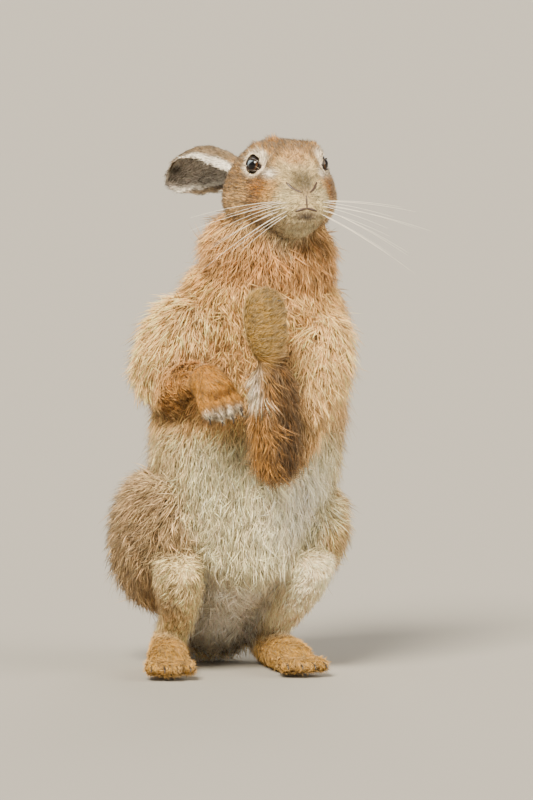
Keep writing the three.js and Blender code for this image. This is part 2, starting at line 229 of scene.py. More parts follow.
def capped(rings, first, last):
    """A closed surface: rings of points, and a fan of triangles from each end ring to first or last."""
    rows, columns = rings.shape[:2]
    k = np.arange(columns)
    nxt = (k + 1) % columns
    end = rows * columns
    low = np.stack([np.full(columns, end), nxt, k], axis=1)
    high = np.stack([np.full(columns, end + 1), end - columns + k, end - columns + nxt], axis=1)
    points = np.concatenate([rings.reshape(-1, 3), [first], [last]])
    return points, np.concatenate([grid_faces(rows, columns), low, high])


def bend(points, steps):
    """A smooth line through points: on each stretch the cubic whose end slopes are half the step between
    the points on either side."""
    points = np.asarray(points, float)
    slopes = np.gradient(points, axis=0)
    at = np.linspace(0, len(points) - 1, steps)
    k = np.minimum(at.astype(int), len(points) - 2)
    t = (at - k)[:, None]
    near, far = points[k], points[k + 1]
    return (near + t * slopes[k] + t ** 2 * (3 * (far - near) - 2 * slopes[k] - slopes[k + 1])
            + t ** 3 * (2 * (near - far) + slopes[k] + slopes[k + 1]))


def turns(number):
    """Angles evenly round a circle, from 0."""
    return np.linspace(0, 2 * np.pi, number, endpoint=False)


def tube(path, radii, normal, columns=6, flat=1.0):
    """A closed tube of radii round a path. flat is its thickness along the normal, a share of its width."""
    along = unit(np.gradient(path, axis=0))
    across = unit(np.cross(along, normal))
    out = np.cross(along, across)
    turn = turns(columns)
    ring = np.cos(turn)[:, None] * across[:, None] + flat * np.sin(turn)[:, None] * out[:, None]
    return capped(path[:, None] + np.asarray(radii)[:, None, None] * ring, path[0], path[-1])


def gathered(pieces):
    """One set of points and triangles from several."""
    shift = np.cumsum([0] + [len(points) for points, _ in pieces[:-1]])
    return (np.concatenate([points for points, _ in pieces]),
            np.concatenate([faces + k for (_, faces), k in zip(pieces, shift)]))


# %% [markdown]
# The skin grows from the solids. Their triangles are gathered with the name of the node that each belongs
# to, moved out a little so that the thin gaps between neighbours close, and rebuilt as one surface of even
# small faces by a voxel remesh. The whiskers are made as hairs later on, so here their points are drawn
# back into the muzzle, which keeps its solid closed.

# %% One surface from the solids
FLESH = sorted(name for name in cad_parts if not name.startswith("eye"))
GAP_CLOSER = 0.45  # mm that the solids are fattened by, so that their 0.3 mm gaps close
VOXEL = 2.2  # mm
MUZZLE_CORE = (45.0, 0.0, -8.0)  # a place deep inside the muzzle, in the head's own directions


def on_whiskers(points):
    """True for the muzzle's points that stand out past a cone round it: 38 mm wide at its base, and 0.4 mm
    narrower for each mm forward."""
    forward, left, up = head_parts(points)
    return (np.hypot(left, up + 6.0) > 38.0 - 0.4 * (forward - 31.0)) | (forward > 72.0)


def arrays_of(mesh):
    """Points in metres and triangles of a Blender mesh, as arrays."""
    mesh.calc_loop_triangles()
    points = np.empty(len(mesh.vertices) * 3)
    mesh.vertices.foreach_get("co", points)
    triangles = np.empty(len(mesh.loop_triangles) * 3, np.int32)
    mesh.loop_triangles.foreach_get("vertices", triangles)
    return points.reshape(-1, 3), triangles.reshape(-1, 3)


def solid_arrays(name):
    """Points in the maker's mm and triangles of a node, with its loose triangles' equal corners merged."""
    points, triangles = arrays_of(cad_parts[name].data)
    points = points / MM - SHIFT
    _, first, inverse = np.unique(points.round(3), axis=0, return_index=True, return_inverse=True)
    points, triangles = points[first], inverse.reshape(-1)[triangles]
    if name == "muzzle":
        points[on_whiskers(points)] = head_point(*MUZZLE_CORE)
    return points, triangles


def point_normals(points, triangles):
    """Each point's unit normal: the sum of its triangles' cross products."""
    a, b, c = (points[triangles[:, k]] for k in range(3))
    facing = np.cross(b - a, c - a)
    total = np.zeros_like(points)
    for k in range(3):
        for axis in range(3):
            total[:, axis] += np.bincount(triangles[:, k], facing[:, axis], len(points))
    return unit(total)


def edges_of(triangles):
    """The different edges of triangles, each once, as pairs of point numbers."""
    pairs = np.concatenate([triangles[:, [0, 1]], triangles[:, [1, 2]], triangles[:, [2, 0]]])
    return np.unique(np.sort(pairs, axis=1), axis=0)


def largest_island(points, triangles):
    """The connected part that holds the most points: labels spread along edges until nothing changes."""
    edges = edges_of(triangles)
    label = np.arange(len(points))
    while True:
        before = label.copy()
        low = np.minimum(label[edges[:, 0]], label[edges[:, 1]])
        np.minimum.at(label, edges[:, 0], low)
        np.minimum.at(label, edges[:, 1], low)
        label = label[label]
        if (label == before).all():
            break
    keep = label == np.bincount(label).argmax()
    number = np.cumsum(keep) - 1
    return points[keep], number[triangles[keep[triangles].all(axis=1)]]


def remeshed(points, triangles, voxel):
    """A closed surface of even faces, voxel mm wide, round everything inside the given triangles."""
    rough = make_piece("rough", points, triangles, bpy.data.materials.new("rough"))
    modifier = rough.modifiers.new("remesh", "REMESH")
    modifier.mode = "VOXEL"
    modifier.voxel_size = voxel * MM
    fresh = bpy.data.meshes.new_from_object(rough.evaluated_get(bpy.context.evaluated_depsgraph_get()))
    made_points, made_triangles = arrays_of(fresh)
    bpy.data.materials.remove(rough.data.materials[0])
    bpy.data.objects.remove(rough)
    bpy.data.meshes.remove(fresh)
    return largest_island(made_points / MM - SHIFT, made_triangles)


solids = {name: solid_arrays(name) for name in FLESH}
fat_points, fat_triangles, owner, count = [], [], [], 0
for index, (points, triangles) in enumerate(solids.values()):
    fat_points.append(points + GAP_CLOSER * point_normals(points, triangles))
    fat_triangles.append(triangles + count)
    owner.append(np.full(len(triangles), index))
    count += len(points)
fat_points, fat_triangles, owner = map(np.concatenate, (fat_points, fat_triangles, owner))
skin, skin_faces = remeshed(fat_points, fat_triangles, VOXEL)
print("skin", len(skin), "points", len(skin_faces), "triangles")

# %% [markdown]
# Each point of the skin belongs to the node that lies nearest. What the regions of a hare differ in, such
# as the fur's length, direction and colour, is written once for each region, put on its points, and then
# smoothed along the surface, so that one region runs into the next as on the animal.

# %% Regions, and smoothing along the surface
nearest = BVHTree.FromPolygons(fat_points.tolist(), fat_triangles.tolist())
region = owner[[nearest.find_nearest(p)[2] for p in skin.tolist()]]
skin_edges = edges_of(skin_faces)
degree = np.bincount(skin_edges.ravel(), minlength=len(skin))


def smoothed(values, share, rounds):
    """Each round moves every point's value by share of the way to its neighbours' mean. share may vary."""
    values = np.array(values, float)
    flat = values.reshape(len(values), -1)
    share = np.broadcast_to(np.asarray(share, float), len(flat))
    a, b = skin_edges.T
    for _ in range(rounds):
        for column in flat.T:
            total = np.bincount(a, column[b], len(flat)) + np.bincount(b, column[a], len(flat))
            column += share * (total / degree - column)
    return flat.reshape(values.shape)


def by_region(table, fallback):
    """A value for each point of the skin, from a table of node names without their side, or with it."""
    rows = []
    for name in FLESH:
        plain = name.removesuffix("_right").removesuffix("_left")
        rows.append(table.get(name, table.get(plain, fallback)))
    return np.array(rows, float)[region]


print("regions", len(FLESH))

# %% Smooth the facets away
SMOOTHING = {"ear": 0.12, "muzzle": 0.2, "head": 0.3, "forepaw": 0.15, "hindfoot": 0.2, "forearm": 0.4}
SMOOTHING_ROUNDS = 36
SWELL = 1.045  # each round swells the skin by this much of what it shrank, so the forms keep their size
share = smoothed(by_region(SMOOTHING, 0.5), 0.5, 6)
for _ in range(SMOOTHING_ROUNDS):
    skin = smoothed(skin, share, 1)
    skin = smoothed(skin, -SWELL * share, 1)
print("smoothed in", SMOOTHING_ROUNDS, "rounds")

# %% [markdown]
# The coat stands on the skin, so the skin sinks by the coat's depth: deep under the belly's long fur,
# hardly at all on the face and the toes.

# %% Sink the skin by the coat's depth
def belly_edge(x):
    """Height of the belly's lower edge: 84 mm in the middle, and 40 ((x - 10) / 60)^2 more at the sides."""
    return 84 + 40 * np.minimum(((x - 10) / 60) ** 2, 1.2)


COAT_DEPTH = {"ear": 0.5, "muzzle": 0.4, "head": 0.2, "forepaw": 0.8, "hindfoot": 1.4, "forearm": 2.2,
              "shank": 2.4, "tail": 4.0, "neck": 5.0, "chest": 5.5, "abdomen": 6.0, "thigh": 5.0,
              "upper_arm": 4.0}
coat_depth = smoothed(by_region(COAT_DEPTH, 3.0), 0.5, 14)
skin = skin - point_normals(skin, skin_faces) * coat_depth[:, None]
TUCK = 13.0  # mm that the lap under the belly's edge lies further back than the solid
looks_ahead = ramp(-point_normals(skin, skin_faces)[:, 1], 0.0, 0.4)
lap = smoothed(by_region({"abdomen": 1.0}, 0.0), 0.5, 8) * looks_ahead
skin[:, 1] += TUCK * lap * (1 - ramp(skin[:, 2] - belly_edge(skin[:, 0]), -14, 2))
CALM = {"ear": 0.0, "muzzle": 0.1, "head": 0.1, "forepaw": 0.1}  # the last smoothing's share there
skin = smoothed(skin, smoothed(by_region(CALM, 0.4), 0.5, 6), 3)
print("the skin sinks by", coat_depth.min().round(1), "to", coat_depth.max().round(1), "mm")

# %% [markdown]
# The skin is pulled over the eyeball to make the lids. The angle between an eye's look and a point of the
# skin near the ball tells how far round the ball that point lies. Skin outside the opening is laid on a
# ball a little larger than the eye, and skin inside it is pushed back out of sight.

# %% Lids
LID_THICK = 1.2  # mm of lid outside the eyeball
LID_REACH = 4.5  # mm round the lids over which the skin runs back to its own shape
SNAP = 0.11  # radians: skin points this close to the opening's edge move onto it
HIDDEN = 0.6  # share of the ball's radius at which the skin behind the opening lies


def eye_axes(side):
    """Three directions: forward and up, or down, seen square to the eye's look, and the look itself, which
    is 0.6 forward, 1 sideways and 0.12 up. The first crossed with the second gives the third."""
    look = unit(0.6 * FORWARD + SIDES[side] * LEFT + 0.12 * UP)
    ahead = unit(FORWARD - look * (FORWARD @ look))
    return ahead, np.cross(look, ahead), look


def eye_places(points, side):
    """Points seen from an eyeball's middle: their offsets, their turn round its look and their angle off
    the look."""
    ahead, rise, look = eye_axes(side)
    away = points - eye_centre(side)
    turn = np.arctan2(away @ rise, away @ ahead)
    return away, turn, np.arccos(np.clip(unit(away) @ look, -1, 1))


def opening(turn, side):
    """Half angle of the opening in the direction turn: 0.76 across and 0.27 less up and down, more at the
    corner in front, which points a little down, and less above, where the brow hangs over."""
    rise = np.sign(eye_axes(side)[1][2])
    front = np.maximum(np.cos(turn + 0.3 * rise), 0) ** 6
    above = np.maximum(np.sin(turn) * rise, 0)
    return 0.76 - 0.27 * np.sin(turn) ** 2 + 0.2 * front - 0.04 * above ** 2


def pull_lids(points):
    """Skin near an eyeball takes its direction from the ball's middle and a new distance: the lid's outside
    the opening, HIDDEN of the ball's radius inside it, and its own one further away."""
    moved = points.copy()
    lid = EYE_RADIUS + LID_THICK
    for side in SIDES:
        ahead, rise, look = eye_axes(side)
        away, turn, angle = eye_places(points, side)
        far = np.linalg.norm(away, axis=1)
        edge = opening(turn, side)
        inside = angle < edge - SNAP
        angle = np.where(abs(angle - edge) < SNAP, edge, angle)
        round_look = np.cos(turn)[:, None] * ahead + np.sin(turn)[:, None] * rise
        facing = np.cos(angle)[:, None] * look + np.sin(angle)[:, None] * round_look
        near = (angle < 1.95) * (1 - ramp(far, lid + 1, lid + 1 + LID_REACH))
        keep = np.where((far > lid) & ~inside, near * (1 - ramp(angle, edge, 1.9)), near)
        distance = far + keep * (np.where(inside, HIDDEN * EYE_RADIUS, lid) - far)
        moved = np.where(near[:, None] > 0, eye_centre(side) + facing * distance[:, None], moved)
    return moved


skin = pull_lids(skin)
print("lids", LID_THICK, "mm outside the eyeballs")
skin_normals = point_normals(skin, skin_faces)
skin_tree = BVHTree.FromPolygons(skin.tolist(), skin_faces.tolist())

# %% [markdown]
# A hare's eye is a ball with a wide black pupil in an amber iris, under a clear window that bulges: the
# cornea. The ball is drawn as rings round the way it looks, and a rim of bare dark skin edges the opening.

# %% Eyes and rims
def wet_material():
    """The cornea's film of tears over the iris: smooth, with the sharp reflection of a living eye."""
    material, shader = new_material("cornea over an amber iris", Roughness=0.06, IOR=1.38)
    feed_coat_colour(material, shader)
    return material


def eye_surface(side, rows=44, columns=56):
    """Rings at the angle a from the look. Their radius is the ball's less 0.4 mm, and in front
    0.8 (1 - (a / 0.8)^2)^2 mm more."""
    axes = np.array(eye_axes(side))
    a = np.linspace(np.pi - 0.05, 0.03, rows)[:, None]
    turn = turns(columns)
    radius = EYE_RADIUS + 0.8 * np.maximum(1 - (a / 0.8) ** 2, 0) ** 2 - 0.4
    place = np.stack([np.sin(a) * np.cos(turn), np.sin(a) * np.sin(turn), np.cos(a) + 0 * turn], axis=-1)
    rings = eye_centre(side) + radius[..., None] * (place @ axes)
    ends = [eye_centre(side) + k * axes[2] for k in (0.4 - EYE_RADIUS, EYE_RADIUS + 0.4)]
    return capped(rings, *ends)


def eye_colours(side, points):
    """Pupil to 0.48 radians, a dark amber iris to 0.66 with fine spokes, a painted reflection of the sky as
    a pale crescent above and behind, and a dark ball outside it."""
    ahead, rise, _ = eye_axes(side)
    away, turn, angle = eye_places(points, side)
    turn, angle = turn[:, None], angle[:, None]
    # painted reflection: the pale crescent of sky above and behind, on the iris and the pupil
    sky = ramp(unit(away) @ unit(0.75 * np.sign(rise[2]) * rise - 0.65 * ahead), 0.08, 0.32)[:, None]
    spokes = 1 + 0.12 * np.sin(31 * turn) + 0.08 * np.sin(53 * turn + 1)
    pupil, amber, ball, pale = (linear(code) for code in ("#050406", "#3f2812", "#140d09", "#8ea2b5"))
    made = pupil + ramp(angle, 0.44, 0.5) * (amber * spokes - pupil)
    made = made + ramp(angle, 0.6, 0.68) * (ball - made)
    # the pale colour mixed in here is the painted reflection of the sky
    return made + 0.85 * sky * (1 - ramp(angle, 0.56, 0.64)) * (pale - made)


def rim_surface(side, columns=72, across=10):
    """A closed ring along the opening's edge: at the turn t its middle stands on the ball where the opening
    ends, and its tube is 0.85 mm thick, thicker at the front corner."""
    ahead, rise, look = eye_axes(side)
    turn = turns(columns)[:, None]
    edge = opening(turn, side)
    around = np.cos(turn) * ahead + np.sin(turn) * rise
    facing = np.cos(edge) * look + np.sin(edge) * around
    inward = np.sin(edge) * look - np.cos(edge) * around
    roll = turns(across)[None, :, None]
    thick = (0.85 + 0.5 * np.maximum(np.cos(turn), 0) ** 12)[:, None]
    ring = eye_centre(side) + (EYE_RADIUS + 0.3) * facing
    points = ring[:, None] + thick * (np.cos(roll) * inward[:, None] + np.sin(roll) * facing[:, None])
    faces = grid_faces(columns + 1, across) % (columns * across)
    return points.reshape(-1, 3), faces


eye_material = wet_material()
rim_material, _ = new_material("bare dark skin", Base_Color=paint("#20150f"), Roughness=0.35,
                               Coat_Weight=0.3)
for side in SIDES:
    points, faces = eye_surface(side)
    eye = make_piece(f"eyeball_{side}", points, faces, eye_material, colours=eye_colours(side, points))
    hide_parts(f"eye_{side}")
    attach(eye, "root")
    rim = make_piece(f"eye_rim_{side}", *rim_surface(side), rim_material)
    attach(rim, "root")
    print("eye", side, len(points), "points, at", eye_centre(side).round(1))

# %% [markdown]
# Nostrils, the groove of the split lip and the mouth are narrow clefts of dark moist skin. Each is a thin
# lens-shaped strip that follows a line drawn on the face, laid on the skin under it. Its dark colour is
# partly the moist skin's own and partly painted shade, which stands in for the shade inside the slits and
# the groove.

# %% Nostrils, lip and mouth
# each line is given in the head's own forward, left and up, with its half width in mm
CLEFTS = {
    "nostril_right": ([(48, -13.5, 10), (54, -9, 5), (59, -3.5, 1.8)], 1.1),
    "nostril_left": ([(48, 13.5, 10), (54, 9, 5), (59, 3.5, 1.8)], 1.0),
    "lip_cleft": ([(62, 0, 0), (63, 0, -5), (62, 0, -12)], 0.8),
    "mouth_right": ([(62, 0, -11), (61, -4.5, -12), (58.5, -9, -13.5)], 1.0),
    "mouth_left": ([(62, 0, -11), (61, 4.5, -12), (58.5, 9, -13.5)], 1.0),
}


def on_skin(points, raise_by=0.0):
    """The nearest places of the skin to points, raised along its normals, and the normals."""
    found = [skin_tree.find_nearest(p)[:2] for p in np.asarray(points).tolist()]
    places, normals = np.array([f[0] for f in found]), np.array([f[1] for f in found])
    return places + raise_by * normals, normals


CLEFT_STEPS = 22  # points along a cleft
CLEFT_RAISE = 0.35  # mm that its middle line stands over the skin
cleft_lines = {}
# partly painted shade: the clefts' dark colour also stands in for the shade inside the slits and the groove
cleft_skin_and_shade_material, _ = new_material("moist skin and painted cleft shade", Base_Color=paint("#3a2922"), Roughness=0.45,
                                 Coat_Weight=0.2)
for name, (line, half) in CLEFTS.items():
    path, normals = on_skin(bend(head_point(*np.array(line, float).T), CLEFT_STEPS), CLEFT_RAISE)
    cleft_lines[name] = path
    swell = half * np.sin(np.linspace(0.12, 1, CLEFT_STEPS) * np.pi * 0.96) ** 0.5
    cleft = make_piece(name, *tube(path, swell, normals, columns=10, flat=0.5), cleft_skin_and_shade_material)
    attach(cleft, "root")
print("clefts", list(cleft_lines))

# %% [markdown]
# Whiskers are stiff tapering hairs that grow in rows on both sides of the muzzle and droop a little at
# their ends. Each one is a thin tube on a line that leaves the cheek sideways and forward or back by its
# place.

# %% Whiskers
WHISKER_REACH = {"right": 82.0, "left": 100.0}
WHISKER_ROWS, WHISKER_RANKS = 4, 3
WHISKER_HALF = 0.18  # mm


def whisker(rng, side, row, rank):
    """The path root + away u length - 0.1 u^2 length UP, with a little bend of its own, u from 0 to 1."""
    s = SIDES[side]
    root = head_point(54 - 4.5 * rank, s * (14 + 2.2 * rank), -7 - 3.0 * row)
    root = on_skin(root[None])[0][0]
    length = WHISKER_REACH[side] * (0.55 + 0.08 * rank + 0.2 * rng.random())
    drop = -0.02 + 0.16 * row + 0.14 * rng.random()
    away = unit(LEFT * s + FORWARD * (0.34 - 0.18 * rank + 0.1 * rng.random()) - UP * drop)
    u = np.linspace(-0.03, 1, 14)[:, None]
    swing = rng.normal(0, 0.03) * FORWARD
    path = root + length * (u * away - 0.1 * u ** 2 * UP + u ** 2 * swing)
    return tube(path, WHISKER_HALF * (1.08 - 0.8 * u[:, 0]), UP + 0 * path, columns=5)


whisker_rng = np.random.default_rng(11)
whisker_material, _ = new_material("whisker keratin", Base_Color=paint("#efe9dd"), Roughness=0.35,
                                   Coat_Weight=0.2)
grown = [whisker(whisker_rng, side, row, rank)
         for side in SIDES for row in range(WHISKER_ROWS) for rank in range(WHISKER_RANKS)]
whiskers = make_piece("whiskers", *gathered(grown), whisker_material)
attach(whiskers, "root")
print("whiskers", len(grown))

# %% [markdown]
# A hare has four toes that show on each foot, and a dark claw comes out of the fur over each of them. A
# paw has three directions: ahead to the toes, across them, and down through the palm.

# %% Paws and claws
# base, ahead, across, palm, then spread between toes, reach of the toes and length of a claw, in mm
PAWS = {
    "forepaw_right": ((-38, -137, 240), (0.3, -0.42, -0.86), (0.93, 0.3, 0.18), (-0.15, 0.8, -0.55),
                      9.6, 20, 6),
    "forepaw_left": ((3, -153, 303), (0.8, -0.59, 0.1), (-0.1, 0.04, 0.99), (0.59, 0.8, 0), 9.4, 13, 1.6),
    "hindfoot_right": ((-63.5, -68, 10), (-0.14, -0.99, -0.03), (0.99, -0.12, 0), (0, 0, -1), 10, 29, 5),
    "hindfoot_left": ((47.5, -68, 10), (0.05, -1, -0.03), (1, 0.05, 0), (0, 0, -1), 10, 29, 5),
}


def paw_place(name, along, out, sunk):
    """base + along ahead + out across + sunk palm, in mm."""
    base, ahead, across, palm = (np.array(v, float) for v in PAWS[name][:4])
    return base + along * ahead + out * across + sunk * palm


def claws(name):
    """Four bent cones: each starts inside its toe, 4 mm behind its end, and comes out over it."""
    spread, reach, claw = PAWS[name][4:]
    across = np.array(PAWS[name][2], float)
    made = []
    for slot in (-1.5, -0.5, 0.5, 1.5):
        length = reach * (1 - 0.09 * slot ** 2)
        line = [(length - 4, 1.06, -2.2), (length + 0.6 * claw, 1.09, -1.8),
                (length + 1.1 * claw, 1.11, 1.2)]
        path = bend([paw_place(name, a, slot * spread * k, sunk) for a, k, sunk in line], 12)
        made.append(tube(path, np.linspace(1.75, 0.35, 12), 0 * path + across, columns=8, flat=0.8))
    return gathered(made)


claw_material, _ = new_material("claw horn", Base_Color=paint("#2b221c"), Roughness=0.38, Coat_Weight=0.15)
for name in PAWS:
    nails = make_piece(f"claws_{name}", *claws(name), claw_material)
    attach(nails, "root")
print("claws on", list(PAWS))

# %% [markdown]
# The lie of the fur: on the head it runs back from the nose, on the trunk down, on a limb to its toes, and
# on an ear from root to tip. Smoothing the directions along the skin gives the bends between them.

# %% The lie of the coat
def ear_run(name):
    """The direction from an ear's root to its tip: from the tenth of its points nearest the head's centre
    to the farthest tenth."""
    points = solids[name][0]
    far = np.linalg.norm(points - HEAD_CENTRE, axis=1)
    order = np.argsort(far)
    tenth = len(order) // 10
    return unit(points[order[-tenth:]].mean(axis=0) - points[order[:tenth]].mean(axis=0))


LIE = {
    "head": unit(-FORWARD + 0.1 * UP), "muzzle": unit(-FORWARD - 0.25 * UP),
    "ear_right": ear_run("ear_right"), "ear_left": ear_run("ear_left"),
    "neck": (0.0, 0.15, -1.0), "chest": (0.0, 0.1, -1.0), "abdomen": (0.0, 0.0, -1.0),
    "tail": (0.0, 0.95, -0.3), "thigh": (0.0, 0.45, -0.9), "shank": (0.0, 0.5, -0.8),
    "hindfoot": (0.0, -0.95, -0.1), "upper_arm_right": (-0.2, 0.1, -1.0),
    "upper_arm_left": (-0.1, -0.3, -1.0), "forearm_right": (0.1, -0.9, -0.2),
    "forepaw_right": (0.3, -0.42, -0.86), "forearm_left": (0.25, -0.15, -0.95),
    "forepaw_left": (0.8, -0.2, 0.55),
}
lie = smoothed(unit(by_region(LIE, (0.0, 0.0, -1.0))), 0.5, 30)
print("lie of the coat on", len(lie), "points")

# %% The coat's length, width, standing angle and how close the tufts are
def spot(places, centre, reach, power=2):
    """1 at the centre and less with distance: exp(-(distance / reach) ^ power). reach may be three numbers.
    A higher power gives a flatter middle and a sharper edge."""
    away = (places - np.asarray(centre, float)) / np.asarray(reach, float)
    return np.exp(-(away ** 2).sum(axis=-1) ** (power / 2))


def crest(points):
    """Weight of the little golden crest on the crown."""
    return spot(points, head_point(2, -9, 42), 6.5, 3)


# length and width in mm, stand in degrees, tufts for each square centimetre
FUR = {
    "muzzle": (3.6, 0.45, 20, 95), "head": (5.0, 0.5, 22, 88), "ear": (4.5, 0.5, 16, 55),
    "neck": (17.0, 0.7, 30, 62), "chest": (19.0, 0.7, 30, 56), "abdomen": (18.0, 0.64, 24, 49),
    "tail": (8.0, 0.7, 24, 70), "thigh": (18.0, 0.75, 28, 52), "shank": (9.0, 0.65, 24, 60),
    "hindfoot": (7.0, 0.55, 20, 66), "upper_arm": (17.0, 0.7, 28, 58), "forearm": (9.0, 0.6, 24, 62),
    "forepaw": (5.2, 0.4, 24, 130), "forearm_left": (18.0, 0.65, 30, 66),
    "upper_arm_left": (20.0, 0.7, 28, 58),
}
fur = smoothed(by_region(FUR, (12.0, 0.8, 25, 50)), 0.5, 16)
CREST_LENGTH, CREST_STAND = 6.0, 40.0  # what the golden crest adds
fur[:, 0] += CREST_LENGTH * crest(skin)
fur[:, 2] += CREST_STAND * crest(skin)
print("the coat is", fur[:, 0].min().round(1), "to", fur[:, 0].max().round(1), "mm long")

# %% [markdown]
# A hare is tawny on its neck, shoulders and flanks, sandy on its legs, grizzled on head and back, where
# each hair is banded dark and pale, and cream on its belly. The colours are worked out for the skin's
# points, and a tuft takes those of the place where it roots.

# %% The places and colours of the markings, painted shade and painted light
COLOUR = {
    "muzzle": "#c8b386", "head": "#b68d57", "ear": "#806d55", "neck": "#cfa066", "chest": "#e6b472",
    "abdomen": "#dec596", "tail": "#efeae0", "thigh_right": "#b79a71", "thigh_left": "#dfbc84",
    # shank_left is paler than shank_right: painted light that offsets the shade falling on the left leg
    "shank_right": "#f1d7a2", "shank_left": "#fae8c6", "hindfoot": "#ad853d", "upper_arm": "#f0c485",
    "forearm": "#b17f3e", "forepaw_right": "#b47d2c", "forepaw_left": "#8f7033",
}
chart = {name: linear(code) for name, code in COLOUR.items()}
colour = smoothed(by_region(chart, linear("#c5a273")), 0.5, 45)
# centre and reach in the head's forward, sideways (both sides alike) and up, strength and colour
FACE_SPOTS = [
    ((2, 0, 42), (34, 26, 13), 0.7, "#7b5d36"),  # grizzled crown
    ((30, 0, 30), (17, 10, 11), 0.7, "#cfa472"),  # bridge of the nose
    ((4, 38, -18), (26, 16, 22), 0.8, "#e2ba81"),  # jaw
    ((38, 25, 4), (12, 9, 14), 0.9, "#cfa15d"),  # side of the muzzle
    ((54, 14, -4), (12, 11, 11), 0.95, "#c9b990"),  # whisker pad
    ((46, 0, -32), (26, 28, 12), 0.95, "#ddd0ab"),  # chin
    ((26, 29, 5), (11, 11, 10), 1.0, "#a06a28"),  # orange patch under the eye
    ((24, 32, -9), (8, 9, 8), 0.6, "#b98250"),  # its lower tail
    ((34, 23, 17), (10, 6, 4.5), 0.95, "#f6eddd"),  # pale streak from the eye's front corner
    ((51, 0, 11), (15, 10.5, 10.5), 0.95, "#544933"),  # nose pad
    ((60, 0, 2), (7, 7, 5), 0.7, "#76634f"),  # its lower end between the nostrils
    ((59, 0, -17), (8, 10.5, 4.2), 1.0, "#4f433c"),  # shade under the mouth
]
# centre and reach in the maker's millimetres, strength and colour
BODY_SPOTS = [
    ((24, -98, 360), (60, 50, 20), 0.6, "#a8702f"),  # neck and chest under the chin
    ((22, -96, 378), (32, 24, 6), 1.0, "#4a2c15"),  # shade line under the jaw
    # painted shade: the next spot darkens the crease between the right forearm and the chest
    ((-40, -90, 270), (22, 30, 22), 0.6, "#9a6a3c"),  # between the right forearm and the chest
    ((26, -122, 218), (24, 40, 50), 0.85, "#5f411a"),  # painted shade in the shaggy fur under the left forearm
    ((80, -40, 240), (26, 60, 70), 0.5, "#b89d73"),  # left flank
    ((-60, -25, 66), (22, 40, 26), 0.7, "#704e28"),  # low on the right haunch
]
EAR_LENGTH = 104.0  # mm
EAR_OPEN = {"right": (-0.72, -0.5, -0.6), "left": (0.85, 0.1, -0.5)}  # the way each ear's open side looks
PAINTED_BELLY_LIGHT = ((52, -110, 150), (32, 60, 50))  # centre and reach of a painted pool of light on the belly's left
print("markings_and_painted_light", len(FACE_SPOTS), "on the face and", len(BODY_SPOTS), "on the body")


# %% The markings, painted shade and painted light on the skin
def on_node(name):
    """True for the skin's points that belong to a node."""
    return region == FLESH.index(name)


def face_places(points):
    """The head's forward, sideways and up of points, with both sides alike."""
    forward, left, up = head_parts(points)
    return np.stack([forward, abs(left), up], axis=1)


def ear_layers(points, normals):
    """On an ear: pale inside, white along the rims, where the surface turns from its open side to its back,
    and black at the tip and on the right ear's fold."""
    layers = []
    for side in SIDES:
        own = on_node(f"ear_{side}")
        run = (points - head_point(-34, SIDES[side] * 26, 14)) @ LIE[f"ear_{side}"] / EAR_LENGTH
        facing = normals @ unit(EAR_OPEN[side])
        layers += [
            (own * ramp(facing, 0.3, 0.6), "#b9b0a5"),
            (own * np.exp(-((facing - 0.46) / 0.13) ** 2), "#fbf5e8"),
            (own * 0.9 * ramp(facing, 0.3, 0.6) * (1 - ramp(run, 0.25, 0.45)), "#fbf5e8"),
            (own * ramp(run, 0.8, 0.88) * ramp(-facing, -0.35, 0.0), "#1d1815"),
        ]
    return layers + [(0.95 * spot(points, (-34, 36, 421), (7, 14, 4.5), 3), "#17120f")]


def paw_parts(points, name):
    """How far points lie ahead on a paw and across it, in mm from its base."""
    base, ahead, across = (np.array(v, float) for v in PAWS[name][:3])
    return (points - base) @ unit(ahead), (points - base) @ unit(across)


def toe_gap_shade(points, name):
    """Painted shade in the creases between the toes: 1 on the lines where two toes of a paw meet, which lie
    a whole number of spreads off its middle, and less to either side: exp(-(off / 1.3)^2), with off in mm."""
    spread = PAWS[name][4]
    along, out = paw_parts(points, name)
    off = (out / spread - np.round(out / spread)) * spread
    near = ramp(along, 3, 10) * (1 - ramp(abs(out), 1.3 * spread, 1.6 * spread))
    return near * np.exp(-(off / 1.3) ** 2) * on_node(name)


def paw_layers(points):
    """Painted shade as dark lines between the toes, and pale toe tips on the forepaw that hangs."""
    along, _ = paw_parts(points, "forepaw_right")
    layers = [(on_node("forepaw_right") * 0.9 * ramp(along, 8, 16), "#f4e7d0")]
    for name, strength in (("forepaw_right", 0.9), ("hindfoot_right", 0.6), ("hindfoot_left", 0.6)):
        # painted shade in the creases between the toes
        layers += [(strength * toe_gap_shade(points, name), "#35231a")]
    return layers


def forearm_layers(points):
    """The raised left forearm: white down its outer side, and dark brown down its inner one, which is
    painted shade where the forearm meets the upper arm.
    """
    x, _, z = points.T
    own = on_node("forearm_left")
    off = x - (-1.5 + 0.15 * (292 - z))
    # painted shade: the dark brown side of the raised forearm, next to the upper arm
    return [(own * 0.9 * ramp(off, -6, 1), "#52371a"),
            (own * 0.75 * (1 - ramp(off, -9, -4)) * ramp(z, 232, 246), "#f6ecd8")]


